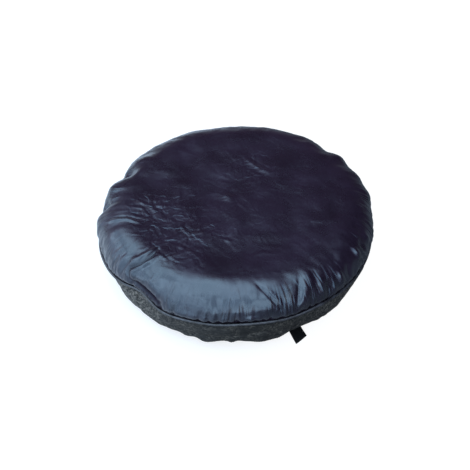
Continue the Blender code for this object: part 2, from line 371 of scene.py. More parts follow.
# Deeper folds at the edge: line, width and height in millimetres
EDGE_FOLDS = [
    ([(-178, -172), (-204, -199), (-222, -212), (-251, -214), (-259, -224), (-261, -236), (-264, -250)],
     4.5, -6.5),
    ([(-186, -172), (-205, -187), (-225, -197), (-250, -201)], 5, 4.5),
    ([(-180, -196), (-198, -211), (-220, -220), (-243, -226), (-250, -238), (-252, -254)], 5, 5.5),
    ([(-276, -250), (-254, -254), (-238, -270), (-218, -292), (-200, -316), (-190, -336)], 13, -13.0),
    ([(-226, -226), (-208, -244), (-192, -266), (-180, -290)], 12, 4.0),
    ([(-236, -180), (-259, -204), (-288, -219), (-300, -224)], 5.5, -3.8),
    ([(-300, -215), (-272, -190), (-250, -180)], 6, 3.0),
    ([(-285, 4), (-340, 4), (-410, 4)], 12, -5.0),
    ([(-262, 110), (-320, 134), (-386, 162)], 18, -3.5),
    ([(38, -280), (83, -325), (118, -356)], 3.5, -2.6),
    ([(62, -290), (100, -330), (120, -356)], 4, 1.4),
    ([(137, -263), (138, -358)], 3.5, -2.4),
    ([(150, -255), (147, -352)], 4, 1.6),
    ([(160, -244), (157, -290), (152, -342)], 12, 4.5),
    ([(184, -256), (203, -304)], 7, 3.0),
    ([(206, -258), (226, -304)], 8, -3.6),
    ([(232, -232), (258, -268)], 7, 5.2),
    ([(256, -212), (280, -244)], 8, -4.2),
    ([(272, -162), (300, -188)], 8, 4.8),
    ([(292, -140), (322, -158)], 8, -3.8),
    ([(306, -112), (334, -128)], 8, 4.4),
]

# Soft swells and dents, most of them on the shoulder: place, width and height in millimetres
SHOULDER_SWELLS = [
    ((-258, 168), 22, 3.0), ((-286, 122), 22, -8.0), ((-322, 52), 16, 4.0), ((-340, 14), 14, -7.5),
    ((-362, -48), 34, 5.0), ((-355, -30), 15, 5.0), ((-318, 72), 18, 5.0),
    ((-230, 202), 28, -5.0), ((252, 218), 18, -2.0), ((284, 182), 28, 9.0), ((325, 110), 30, 6.0),
    ((352, 50), 32, 6.0), ((205, 262), 40, 5.5), ((120, 315), 50, 3.0),
    ((-60, 20), 80, -2.0), ((60, -60), 90, 1.5), ((-150, -120), 70, -1.6),
]

# Slack of the face, and more of it on the shoulder: size and height in millimetres, and seed
SLACK_LUMPS = [(62, 1.5, 3), (27, 0.6, 4), (11, 0.16, 5)]
SHOULDER_LUMPS = [(17, 0.8, 6), (8, 0.3, 7)]

# Crumpled places: middle, spread, number of creases, height in millimetres, and seed
CRUMPLES = [
    ((-150, -115), 62, 110, 0.38, 21), ((-205, -40), 32, 36, 0.38, 22),
    ((55, 105), 50, 34, 0.45, 23), ((20, -20), 140, 120, 0.34, 24),
]

# Places where the material adds fine creases: middle and width in millimetres, and share
WORN_PLACES = [((-155, -110), 95, 1.0), ((-205, -30), 60, 0.8), ((60, 115), 60, 0.5)]

# The roll over the seam, the groove under it and the dent at the left, in millimetres
PUFF = 3.4
SEAM_RECESS = 2.6
LEFT_DENT = 8.5


def crumple(flat, middle, spread, count, height, seed):
    """Short creases that radiate from a worn place."""
    pick = np.random.default_rng(seed)
    total = np.zeros(flat.shape[0])
    for _ in range(count):
        away = pick.normal(0, spread, 2)
        angle = math.atan2(away[1], away[0]) + pick.normal(0, 1.1)
        half = pick.uniform(12, 38)
        start = np.array(middle) + away
        bend = pick.normal(0, 6, 2)
        run = np.array((math.cos(angle), math.sin(angle))) * half
        line = [start - run, start + bend, start + run]
        near = np.hypot(*(flat - start).T) < half + 24
        rise = pick.uniform(0.4, 1.0) * height
        width = pick.uniform(2.6, 4.0)
        total[near] += fold(flat[near], line, width, rise, lean=0.55)
    return total


def seam_puckers(arc, azimuth, seam_arc):
    """Pleats that start in the welted seam and run up the shoulder, in millimetres."""
    total = np.zeros(arc.shape[0])
    above = seam_arc - arc
    pick = np.random.default_rng(11)
    middle = -math.pi
    while middle < math.pi:
        middle += pick.uniform(13, 34) / BULGE_MM
        reach = pick.uniform(0.030, 0.100)
        width = pick.uniform(0.0042, 0.0062)
        depth = pick.uniform(1.6, 4.2)
        slant = pick.normal(0, 0.18)
        rise = np.clip(1 - above / reach, 0, 1)
        across = (turn_between(azimuth, middle) * BULGE_RADIUS - slant * above) / width
        pleat = hump(across, 0, 1) - 0.45 * hump(np.abs(across), 1.7, 1)
        total -= depth * pleat * rise**1.3 * np.clip(above / 0.012, 0.04, 1)
    return total


def edge_relief(flat, arc, azimuth, seam_arc):
    """Height in millimetres of the folds that the seam draws in the face's edge.

    The pleats are lower at the right front."""
    relief = seam_puckers(arc, azimuth, seam_arc) * (1 - 0.6 * bell(azimuth, -48, 15))
    for line, width, height in EDGE_FOLDS:
        relief += fold(flat, line, width, height)
    return relief


def face_relief(arc, azimuth, seam_arc):
    """Height of the folds off the smooth face in metres, and the painted shade of each point, 0 to 1: in the
    hollows of the edge folds, in the groove above the welt and under the fold at the left front.
    """
    flat = np.stack([arc * np.cos(azimuth), arc * np.sin(azimuth)], 1) * 1000
    along_seam = np.stack([azimuth * BULGE_MM, arc * 0], 1)
    above = seam_arc - arc
    edge = edge_relief(flat, arc, azimuth, seam_arc)
    relief = sum(height * uneven(flat, size, seed) for size, height, seed in SLACK_LUMPS)
    shoulder = np.clip((arc - 0.265) / 0.04, 0, 1)
    relief += shoulder * sum(height * uneven(flat, size, seed) for size, height, seed in SHOULDER_LUMPS)
    for line, width, height in CROWN_CREASES:
        relief += fold(flat, line, CREASE_NARROWING * width, CREASE_FLATTENING * height, lean=0.5)
    for place, width, height in SHOULDER_SWELLS:
        relief += swelling(flat, place, width, height)
    for worn_place in CRUMPLES:
        relief += crumple(flat, *worn_place)
    cell = np.clip(0.55 + 0.9 * uneven(along_seam, 19, 10), 0.1, 1)
    puff = hump(above, 0.0225, 0.010) * (0.35 + 0.65 * bell(azimuth, -95, 38))
    relief += PUFF * cell * puff - SEAM_RECESS * hump(above, 0.0070, 0.0055)
    relief -= LEFT_DENT * bell(azimuth, 156, 8) * np.clip((arc - 0.275) / 0.045, 0, 1)
    # Painted shade, not a shape: darkening in the groove just above the welt, under the left-front fold and
    # in the hollows of the edge folds.
    over_lip = above - 0.005
    painted_shade_under_fold = bell(azimuth, -130, 8) * np.clip(1.2 - over_lip / 0.030, 0, 1)
    groove_shade_reach = 0.0050 + 0.0030 * uneven(along_seam, 46, 9)
    groove = 0.95 * np.clip(1.5 - over_lip / groove_shade_reach, 0, 1)
    painted_fold_shade = np.maximum(np.clip(-(edge + 0.6) / 9, 0, 1), groove)
    inside = np.clip((above + 0.004) / 0.010, 0, 1) * np.clip(arc / 0.02, 0, 1)
    return 0.001 * (relief + edge) * inside, np.maximum(painted_fold_shade, painted_shade_under_fold)


# Builders

def grid_faces(rows, columns, closed_turn):
    """Quads between rows of points, which close on themselves or have ends."""
    last = columns if closed_turn else columns - 1
    faces = []
    for row in range(rows - 1):
        for column in range(last):
            near = row * columns + column
            far = row * columns + (column + 1) % columns
            faces.append((near, near + columns, far + columns, far))
    return faces


def disc_faces(counts):
    """Faces of a disc whose rings hold more points further out. The first ring is its middle point."""
    faces = []
    start = 0
    for count, next_count in zip(counts, counts[1:]):
        after = start + count
        for column in range(count if count > 1 else next_count):
            near = start + column
            far = start + (column + 1) % count
            first = after + 2 * column
            last = after + (2 * column + 2) % next_count
            if count == 1:
                faces.append((0, after + column, after + (column + 1) % next_count))
            elif next_count == count:
                faces.append((near, after + column, after + (column + 1) % count, far))
            else:
                faces += [(near, first, first + 1), (near, first + 1, far), (far, first + 1, last)]
        start = after
    return faces


def new_mesh(name, points, faces):
    """A mesh from its points and faces, as the one object that is selected."""
    mesh = bpy.data.meshes.new(name)
    mesh.from_pydata(np.asarray(points).reshape(-1, 3).tolist(), [], faces)
    mesh.update()
    obj = bpy.data.objects.new(name, mesh)
    scene.collection.objects.link(obj)
    only(obj)
    return obj


def face_outwards():
    """Turns the faces of the mesh that is being edited outwards, and smooths them."""
    bpy.ops.mesh.select_all(action="SELECT")
    bpy.ops.mesh.normals_make_consistent(inside=False)
    bpy.ops.object.mode_set(mode="OBJECT")
    bpy.ops.object.shade_smooth()


def sheet_mesh(name, points, faces):
    """A piece of cloth from its points and faces, as one layer."""
    obj = new_mesh(name, points, faces)
    bpy.ops.object.mode_set(mode="EDIT")
    face_outwards()
    return obj


def sheet_from_rows(name, grid, closed_turn):
    return sheet_mesh(name, grid, grid_faces(grid.shape[0], grid.shape[1], closed_turn))


def only(obj):
    bpy.ops.object.select_all(action="DESELECT")
    obj.select_set(True)
    bpy.context.view_layer.objects.active = obj


def thicken(obj, thickness, lining=0):
    """The cloth's thickness, half to each side. lining is the step to the back's material."""
    solidify = obj.modifiers.new("thickness", "SOLIDIFY")
    solidify.thickness = thickness
    solidify.offset = 0
    solidify.use_even_offset = False
    solidify.material_offset = lining
    only(obj)
    bpy.ops.object.modifier_apply(modifier=solidify.name)
    bpy.ops.object.shade_smooth()


def turned(profile, azimuth):
    """Rows of settled points: the profile turned to each azimuth."""
    radius = np.repeat(profile[:, :1], len(azimuth), 1)
    height = np.repeat(profile[:, 1:], len(azimuth), 1)
    around = np.repeat(azimuth[None, :], len(profile), 0)
    radius, height = settle(radius, around, height)
    return np.stack([radius * np.cos(around), radius * np.sin(around), height], -1)


def row_normals(grid, closed_turn):
    down = np.gradient(grid, axis=0)
    if closed_turn:
        around = np.roll(grid, -1, 1) - np.roll(grid, 1, 1)
    else:
        around = np.gradient(grid, axis=1)
    normal = np.cross(down, around)
    return normal / np.maximum(np.linalg.norm(normal, axis=-1, keepdims=True), 1e-9)


def full_turn(count):
    return np.linspace(-math.pi, math.pi, count, endpoint=False)


def face_rings():
    """The face's profile, with its rings closest on the shoulder, and how many points each ring holds."""
    profile = face_profile()
    length = arc_length(profile)
    crown = np.r_[0, np.arange(0.006, 0.110, 0.0050), np.arange(0.110, 0.236, 0.0040)]
    stops = np.r_[crown, np.linspace(0.236, length[-1], 56)]
    outer = np.where(stops < 0.235, FACE_COLUMNS // 2, FACE_COLUMNS)
    counts = np.where(stops < 0.108, FACE_COLUMNS // 4, outer)
    counts[0] = 1
    return on_path(stops, length, profile), stops, counts


def note(obj, name, kind, values):
    """Keeps a value for each point of a mesh, for its material to read."""
    made = obj.data.attributes.new(name, kind, "POINT")
    field = "vector" if kind == "FLOAT_VECTOR" else "value"
    made.data.foreach_set(field, np.asarray(values, float).ravel())


def make_face_panel():
    """The face with its folds, and the values that its material reads at each point."""
    profile, arc, counts = face_rings()
    azimuth = full_turn(FACE_COLUMNS)
    grid = turned(profile, azimuth)
    seam_arc = arc[np.argmax(profile[:, 1] < SEAM_HEIGHT + 0.0095)]
    relief, painted_fold_shade = face_relief(np.repeat(arc, len(azimuth)), np.tile(azimuth, len(arc)), seam_arc)
    painted_fold_shade = painted_fold_shade.reshape(len(arc), len(azimuth))
    normal = row_normals(grid, True)
    normal[0] = (0, 0, 1)
    grid = grid + normal * relief.reshape(len(arc), len(azimuth), 1)
    keep = [(ring, np.arange(0, FACE_COLUMNS, FACE_COLUMNS // count)) for ring, count in enumerate(counts)]
    points = np.vstack([grid[ring, columns] for ring, columns in keep])
    face = sheet_mesh("face_cloth", points, disc_faces(counts))
    point_arc = np.concatenate([np.full(len(columns), arc[ring]) for ring, columns in keep])
    point_turn = np.concatenate([azimuth[columns] for ring, columns in keep])
    flat = np.stack([point_arc * np.cos(point_turn), point_arc * np.sin(point_turn)], 1) * 1000
    worn = 0.20 + sum(swelling(flat, place, width, share) for place, width, share in WORN_PLACES)
    note(face, "creasing", "FLOAT", np.clip(worn, 0, 1) * np.clip((0.30 - point_arc) / 0.05, 0.15, 1))
    along_seam = np.stack([point_turn * BULGE_MM, point_arc * 0], 1)
    patchy = np.clip(0.55 + 0.9 * uneven(along_seam, 55, 8), 0.1, 1)
    pull = np.clip(1 - (seam_arc - point_arc) / 0.110, 0, 1) ** 1.1
    note(face, "seam_pull", "FLOAT", patchy * pull)
    circle = BULGE_RADIUS * np.stack([np.cos(point_turn), np.sin(point_turn)], 1)
    note(face, "around_seam", "FLOAT_VECTOR", np.column_stack([circle, 0.16 * point_arc]))
    # Painted shade in the folds and in the groove above the welt, which takes the vinyl's gloss away there.
    note(face, "painted_fold_shade", "FLOAT", np.concatenate([painted_fold_shade[ring, columns] for ring, columns in keep]))
    face.data.materials.append(black_vinyl)
    face.data.materials.append(knit_backing)
    thicken(face, VINYL, lining=1)
    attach(face, "cover")
    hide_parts("face_panel")


def make_welt():
    """The strip folded round the cord, with both its edges in the seam, and the cord inside it."""
    azimuth = full_turn(RING_COLUMNS)
    wrap = sheet_from_rows("welt_piping", turned(welt_wrap_profile(), azimuth), True)
    wrap.data.materials.append(welt_vinyl)
    thicken(wrap, VINYL)
    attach(wrap, "cover")
    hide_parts("welt_wrap")
    turns = np.linspace(0, 2 * math.pi, 11)[:-1]
    section = np.array(welt_centre()) + WELT_CORD / 2 * np.stack([np.cos(turns), np.sin(turns)], 1)
    cord = sheet_from_rows("welt_filler", turned(section, azimuth).transpose(1, 0, 2), True)
    close_ring(cord)
    cord.data.materials.append(cotton_cord)
    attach(cord, "cover")
    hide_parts("welt_cord")


def close_ring(obj):
    """Joins the first and the last row of a ring whose rows run along it."""
    only(obj)
    bpy.ops.object.mode_set(mode="EDIT")
    bpy.ops.mesh.select_all(action="DESELECT")
    bpy.ops.mesh.select_mode(type="EDGE")
    bpy.ops.mesh.select_non_manifold(extend=False)
    bpy.ops.mesh.bridge_edge_loops()
    face_outwards()


def band_grain(grid, azimuth):
    """Drag lines and slack of the band, in metres along its normal. They are small at the tab."""
    rows = len(grid)
    around = np.tile(azimuth, rows) * 0.33 * 1000
    up = np.repeat(np.linspace(0, 140, rows), len(azimuth))
    flat = np.stack([around, up], 1)
    skewed = np.stack([around * 0.35 + up * 0.8, up - around * 0.12], 1)
    clear_of_tab = 1 - 0.8 * bell(azimuth, math.degrees(TAB_AZIMUTH), 7)
    pulled = 1 + 1.8 * bell(azimuth, -138, 22) + 4.0 * bell(azimuth, -90, 30)
    drag = np.tile(pulled * clear_of_tab, rows)
    relief = 1.2 * uneven(flat, 34, 31) + drag * uneven(skewed, 14, 32) + 0.3 * uneven(flat, 9, 33)
    return 0.001 * relief.reshape(rows, len(azimuth), 1)


def make_side_band(name, cad_node, start):
    """Half of the band, from one join to the other, with its ends turned in there."""
    end = np.array([JOIN_GAP / 2, 0.0007, 0.0014, 0.0022, 0.0032]) / SEAM_RADIUS
    inset = 0.0055 / SEAM_RADIUS
    azimuth = start + np.r_[end, np.linspace(inset, math.pi - inset, 351), math.pi - end[::-1]]
    profile = band_profile()
    height = profile[:, 1]
    grid = turned(profile, azimuth)
    from_end = np.minimum(azimuth - start, start + math.pi - azimuth) * SEAM_RADIUS
    turn_in = JOIN_TURN_IN * np.clip(1 - from_end / 0.0032, 0, 1) ** 2
    clear = np.clip((height - CASING * 1.3) / 0.008, 0, 1) * (np.arange(len(profile)) > 2)
    inward = -np.stack([np.cos(azimuth), np.sin(azimuth), 0 * azimuth], -1)
    grid = grid + inward[None] * turn_in[None, :, None] * clear[:, None, None]
    slack = np.clip((SEAM_HEIGHT - 0.004 - height) / 0.02, 0, 1) * np.clip(height / 0.03 - 0.4, 0, 1)
    slack[:3] = 0
    slack[-6:] = 0
    sewn_end = np.clip(from_end / 0.025, 0, 1)
    slack = slack[:, None, None] * sewn_end[None, :, None]
    grid = grid + row_normals(grid, False) * band_grain(grid, azimuth) * slack
    band = sheet_from_rows(name, grid, False)
    # Wear and painted light: the band is paler on the left, the side towards the window, and in a smaller
    # patch at the right front.
    wear_and_painted_light = np.tile(bell(azimuth, -155, 32) + 0.6 * bell(azimuth, -42, 20), len(profile))
    note(band, "wear_and_painted_light", "FLOAT", wear_and_painted_light)
    band.data.materials.append(grained_vinyl)
    band.data.materials.append(knit_backing)
    thicken(band, VINYL, lining=1)
    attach(band, "cover")
    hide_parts(cad_node)


def make_hem_elastic():
    """The elastic in the casing, as a closed ring."""
    rows = turned(elastic_section(), full_turn(RING_COLUMNS)).transpose(1, 0, 2)
    strip = sheet_from_rows("elastic_strip", rows, True)
    close_ring(strip)
    strip.data.materials.append(knitted_elastic)
    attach(strip, "cover")
    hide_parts("hem_elastic")


# Stitches

def stitch_shape():
    """One stitch: a short thread, thin at both ends where it dives into the cloth."""
    bpy.ops.mesh.primitive_cylinder_add(vertices=6, radius=THREAD / 2, depth=STITCH_LENGTH,
                                        end_fill_type="NGON")
    stitch = bpy.context.object
    bpy.ops.object.mode_set(mode="EDIT")
    bpy.ops.mesh.select_all(action="SELECT")
    bpy.ops.mesh.subdivide(number_cuts=1)
    bpy.ops.object.mode_set(mode="OBJECT")
    points = np.array([vertex.co for vertex in stitch.data.vertices])
    faces = [tuple(polygon.vertices) for polygon in stitch.data.polygons]
    bpy.data.objects.remove(stitch)
    taper = 1 - 0.65 * (np.abs(points[:, 2]) / (STITCH_LENGTH / 2)) ** 3
    points[:, :2] *= taper[:, None]
    return points, faces


def stitch_row(name, path, normal):
    """Stitches along a path of points, each laid on the cloth."""
    shape, shape_faces = stitch_shape()
    bow = THREAD / 2 * (1 - (2 * shape[:, 2:] / STITCH_LENGTH) ** 2)
    travelled = np.r_[0, np.cumsum(np.linalg.norm(np.diff(path, axis=0), axis=1))]
    points, faces = [], []
    for stop in np.arange(STITCH_PITCH / 2, travelled[-1], STITCH_PITCH):
        ahead = on_path(stop + STITCH_LENGTH / 2, travelled, path)
        behind = on_path(stop - STITCH_LENGTH / 2, travelled, path)
        along = (ahead - behind) / np.linalg.norm(ahead - behind)
        side = np.cross(on_path(stop, travelled, normal), along)
        side /= np.linalg.norm(side)
        lift = np.cross(along, side)
        offset = len(points) * len(shape)
        laid = shape[:, :1] * side + (shape[:, 1:2] + bow) * lift + shape[:, 2:] * along
        points.append(on_path(stop, travelled, path) + laid)
        faces += [tuple(corner + offset for corner in face) for face in shape_faces]
    obj = new_mesh(name, points, faces)
    bpy.ops.object.shade_smooth()
    obj.data.materials.append(sewing_thread)
    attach(obj, "cover")


def band_row(name, height):
    """A row of stitches round the band, at that height on it."""
    azimuth = np.linspace(-math.pi, math.pi, 1441)
    heights = np.array([height - 0.002, height, height + 0.002])
    profile = np.stack([band_radius(heights), heights], 1)
    grid = turned(profile, azimuth)
    normal = row_normals(grid, False)[1]
    outward = np.sign((normal[:, :2] * grid[1, :, :2]).sum(1))[:, None] * normal
    stitch_row(name, grid[1] + outward * 0.0001, outward)


# Pull tab

def make_pull_tab():
    """Webbing sewn up the inside of the casing, under the fold and out over the floor, slightly twisted."""
    hinge = Vector(frame["joints"][0]["pos_m"])
    turn = Matrix.Rotation(TAB_AZIMUTH - math.pi / 2, 4, "Z")
    sewn_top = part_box("tab_anchor")[1].z - hinge.z - 0.0012
    route = [(0.0062, sewn_top), (0.0010, 0.0118), (-0.0080, 0.0046), (-0.0105, 0.0010), (-0.0068, 0.0)]
    route += [(0.0, 0.0), (0.010, -0.0013), (0.022, -0.0034), (TAB_LENGTH + 0.003, -0.0053)]
    line = spaced(rounded(route, 2), 0.0012)
    across = np.linspace(-TAB_WIDTH / 2, TAB_WIDTH / 2, 27)
    free = np.clip((line[:, 0] - 0.004) / (TAB_LENGTH - 0.004), 0, 1)
    free[: np.argmin(line[:, 0])] = 0
    raised = np.clip((TAB_WIDTH / 2 - across) / TAB_WIDTH, 0, 1) ** 1.6
    grid = np.zeros((len(line), len(across), 3))
    grid[..., 0] = across[None, :] + TAB_SKEW * free[:, None]
    grid[..., 1] = line[:, :1] - TAB_SHEAR * free[:, None] * (TAB_WIDTH / 2 - across[None, :])
    grid[..., 2] = line[:, 1:] + TAB_TWIST * free[:, None] ** 1.4 * raised[None, :]
    tab = sheet_from_rows("webbing_tab", grid, False)
    tab.data.transform(Matrix.Translation(hinge) @ turn)
    tab.data.materials.append(black_webbing)
    thicken(tab, WEBBING)
    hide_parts("tab_anchor", "pull_tab")
    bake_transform(tab)


# Materials

# Divides a wave texture's scale, so that its lines and the gaps between them are each as wide as asked
WAVE_STEP = 6.283


def colour(text):
    """Linear colour of an sRGB hex value."""
    channels = [int(text[i : i + 2], 16) / 255 for i in (1, 3, 5)]
    return tuple(c / 12.92 if c <= 0.04045 else ((c + 0.055) / 1.055) ** 2.4 for c in channels) + (1,)


def node(tree, kind, links=(), stops=(), **settings):
    """Adds a node with its settings, a ramp's stops, and links from (input, source socket) pairs.

    kind leaves out ShaderNode. in_From_Min sets the input From Min, and in_1 the input at place 1."""
    made = tree.nodes.new("ShaderNode" + kind)
    for name, value in settings.items():
        if name.startswith("in_"):
            key = name[3:].replace("_", " ")
            made.inputs[int(key) if key.isdigit() else key].default_value = value
        else:
            setattr(made, name, value)
    for place, (position, shade) in enumerate(stops):
        made.color_ramp.elements[place].position = position
        made.color_ramp.elements[place].color = shade
    for name, source in links:
        tree.links.new(source, made.inputs[name])
    return made


def new_material(name):
    material = bpy.data.materials.new(name)
    material.use_nodes = True
    tree = material.node_tree
    return material, tree, tree.nodes["Principled BSDF"]


def per_metre(millimetres):
    """Texture scale for a pattern of that size on object coordinates in metres."""
    return 1000 / millimetres


def wrinkle(tree, place, size, amount):
    """Meandering creases of about that size in millimetres, where the mesh's attribute asks for them."""
    lumps = node(tree, "TexNoise", [("Vector", place)], in_Scale=per_metre(size), in_Detail=2.5,
                 in_Distortion=0.6)
    signed = node(tree, "Math", [(0, lumps.outputs["Fac"])], operation="SUBTRACT", in_1=0.5)
    folded = node(tree, "Math", [(0, signed.outputs["Value"])], operation="ABSOLUTE")
    sharp = node(tree, "MapRange", [("Value", folded.outputs["Value"])],
                 interpolation_type="SMOOTHSTEP", in_From_Max=0.14)
    asked = node(tree, "Attribute", attribute_name=amount)
    made = node(tree, "Math", [(0, sharp.outputs["Result"]), (1, asked.outputs["Fac"])], operation="MULTIPLY")
    return made.outputs["Value"]


def make_black_vinyl():
    """Calendered PVC on a knit, embossed with a fine leather grain: near black, with a soft wet gloss.

    Deep in folds and in the groove above the welt, the gloss is taken away as painted shade. The grain is
    really about 1 mm across, and is drawn coarser so that it shows."""
    material, tree, shader = new_material("black_vinyl")
    place = node(tree, "TexCoord").outputs["Object"]
    pebble = node(tree, "TexVoronoi", [("Vector", place)], in_Scale=per_metre(2.6), in_Randomness=0.9)
    pore = node(tree, "TexNoise", [("Vector", place)], in_Scale=per_metre(1.6), in_Detail=3.0)
    handled = node(tree, "TexNoise", [("Vector", place)], in_Scale=per_metre(90), in_Detail=4.0)
    tint = node(tree, "ValToRGB", [("Fac", handled.outputs["Fac"])],
                stops=[(0.32, colour("#140c16")), (0.70, colour("#211724"))])
    gloss = node(tree, "MapRange", [("Value", handled.outputs["Fac"])], in_To_Min=0.22, in_To_Max=0.34)
    round_seam = node(tree, "Attribute", attribute_name="around_seam")
    crease = wrinkle(tree, place, 38, "creasing")
    pleat = wrinkle(tree, round_seam.outputs["Vector"], 30, "seam_pull")
    bump = node(tree, "Bump", [("Height", crease)], in_Strength=0.7, in_Distance=0.0013)
    for height, strength, distance in (
        (pleat, 0.8, 0.0065),
        (pebble.outputs["Distance"], 0.16, 0.0006),
        (pore.outputs["Fac"], 0.10, 0.0004),
    ):
        bump = node(tree, "Bump", [("Height", height), ("Normal", bump.outputs["Normal"])],
                    in_Strength=strength, in_Distance=distance)
    tree.links.new(tint.outputs["Color"], shader.inputs["Base Color"])
    tree.links.new(gloss.outputs["Result"], shader.inputs["Roughness"])
    tree.links.new(bump.outputs["Normal"], shader.inputs["Normal"])
    # Painted shade: where the painted fold shade is high, specular level and coat fall to almost nothing.
    painted_fold_shade = node(tree, "Attribute", attribute_name="painted_fold_shade")
    for name, most in (("Specular IOR Level", 0.7), ("Coat Weight", 0.6)):
        shade = node(tree, "MapRange", [("Value", painted_fold_shade.outputs["Fac"])], in_To_Min=most, in_To_Max=0.04)
        shader.inputs[name].default_value = most
        tree.links.new(shade.outputs["Result"], shader.inputs[name])
    shader.inputs["IOR"].default_value = 1.54
    shader.inputs["Specular Tint"].default_value = colour("#cbecff")
    shader.inputs["Coat Roughness"].default_value = 0.22
    return material


def make_welt_vinyl():
    """The same vinyl as a narrow bias strip, pulled round the cord: paler and shinier where rubbed."""
    material, tree, shader = new_material("welt_vinyl")
    place = node(tree, "TexCoord").outputs["Object"]
    rub = node(tree, "TexNoise", [("Vector", place)], in_Scale=per_metre(14), in_Detail=3.0)
    tint = node(tree, "ValToRGB", [("Fac", rub.outputs["Fac"])],
                stops=[(0.38, colour("#17171b")), (0.66, colour("#3f4046"))])
    gloss = node(tree, "MapRange", [("Value", rub.outputs["Fac"])], in_To_Min=0.42, in_To_Max=0.26)
    tree.links.new(tint.outputs["Color"], shader.inputs["Base Color"])
    tree.links.new(gloss.outputs["Result"], shader.inputs["Roughness"])
    shader.inputs["Specular IOR Level"].default_value = 0.8
    return material


def make_grained_vinyl():
    """Coarser embossed vinyl of the band: matt charcoal, soiled in patches, with the grain's tops paler.

    They are palest where the mesh asks for it: partly wear, and partly painted light on the left, the side
    towards the window. The grain is really about 1.5 mm across, and is drawn coarser so that it shows."""
    material, tree, shader = new_material("grained_vinyl")
    place = node(tree, "TexCoord").outputs["Object"]
    grit = node(tree, "TexNoise", [("Vector", place)], in_Scale=per_metre(4.5), in_Detail=3, in_Roughness=0.6)
    wear = node(tree, "TexNoise", [("Vector", place)], in_Scale=per_metre(24), in_Detail=2.0)
    pebble = node(tree, "TexVoronoi", [("Vector", place)], in_Scale=per_metre(3.4))
    speck = node(tree, "ValToRGB", [("Fac", grit.outputs["Fac"])],
                 stops=[(0.42, colour("#0d0c0b")), (0.68, colour("#565149"))])
    soiled = node(tree, "MapRange", [("Value", wear.outputs["Fac"])],
                  in_From_Min=0.36, in_From_Max=0.64, in_To_Min=0.98, in_To_Max=0.10)
    plain = node(tree, "Mix", [("Factor", soiled.outputs["Result"]), (6, speck.outputs["Color"])],
                 data_type="RGBA", in_7=colour("#141312"))
    # Paler speck colour, for wear and for painted light on the side towards the window.
    wear_and_painted_light = node(tree, "ValToRGB", [("Fac", grit.outputs["Fac"])],
                  stops=[(0.45, colour("#121110")), (0.62, colour("#7f7971"))])
    share = node(tree, "Attribute", attribute_name="wear_and_painted_light")
    tint = node(tree, "Mix",
                [("Factor", share.outputs["Fac"]), (6, plain.outputs[2]), (7, wear_and_painted_light.outputs["Color"])],
                data_type="RGBA")
    bump = node(tree, "Bump", [("Height", pebble.outputs["Distance"])], in_Strength=0.35, in_Distance=0.0010)
    grain = node(tree, "Bump", [("Height", grit.outputs["Fac"]), ("Normal", bump.outputs["Normal"])],
                 in_Strength=0.30, in_Distance=0.0012)
    tree.links.new(tint.outputs[2], shader.inputs["Base Color"])
    tree.links.new(grain.outputs["Normal"], shader.inputs["Normal"])
    shader.inputs["Roughness"].default_value = 0.58
    shader.inputs["Specular IOR Level"].default_value = 0.35
    shader.inputs["IOR"].default_value = 1.52
    return material


def make_knit_backing():
    """Polyester tricot glued to the vinyl's back: grey and dull, with wales drawn coarse enough to show."""
    material, tree, shader = new_material("knit_backing")
    place = node(tree, "TexCoord").outputs["Object"]
    wale = node(tree, "TexWave", [("Vector", place)], in_Scale=per_metre(2.2) / WAVE_STEP, in_Distortion=1.2)
    fuzz = node(tree, "TexNoise", [("Vector", place)], in_Scale=per_metre(2.0), in_Detail=3.0)
    tint = node(tree, "ValToRGB", [("Fac", fuzz.outputs["Fac"])],
                stops=[(0.30, colour("#4d4c4a")), (0.72, colour("#6c6a67"))])
    bump = node(tree, "Bump", [("Height", wale.outputs["Fac"])], in_Strength=0.25, in_Distance=0.0004)
    tree.links.new(tint.outputs["Color"], shader.inputs["Base Color"])
    tree.links.new(bump.outputs["Normal"], shader.inputs["Normal"])
    shader.inputs["Roughness"].default_value = 0.9
    return material


def make_woven(name, dark, light, thread, roughness):
    """Narrow woven and knitted goods: dull, with twill lines drawn coarse enough to show."""
    material, tree, shader = new_material(name)
    place = node(tree, "TexCoord").outputs["Object"]
    slanted = node(tree, "Mapping", [("Vector", place)], in_Rotation=(0, 0, math.radians(-18)))
    twill = node(tree, "TexWave", [("Vector", slanted.outputs["Vector"])],
                 in_Scale=per_metre(thread) / WAVE_STEP, in_Distortion=0.4)
    fibre = node(tree, "TexNoise", [("Vector", place)], in_Scale=per_metre(1.1), in_Detail=2.0)
    tint = node(tree, "ValToRGB", [("Fac", fibre.outputs["Fac"])],
                stops=[(0.3, colour(dark)), (0.75, colour(light))])
    bump = node(tree, "Bump", [("Height", twill.outputs["Fac"])], in_Strength=0.4, in_Distance=0.0006)
    tree.links.new(tint.outputs["Color"], shader.inputs["Base Color"])
    tree.links.new(bump.outputs["Normal"], shader.inputs["Normal"])
    shader.inputs["Roughness"].default_value = roughness
    shader.inputs["Specular IOR Level"].default_value = 0.2
    return material


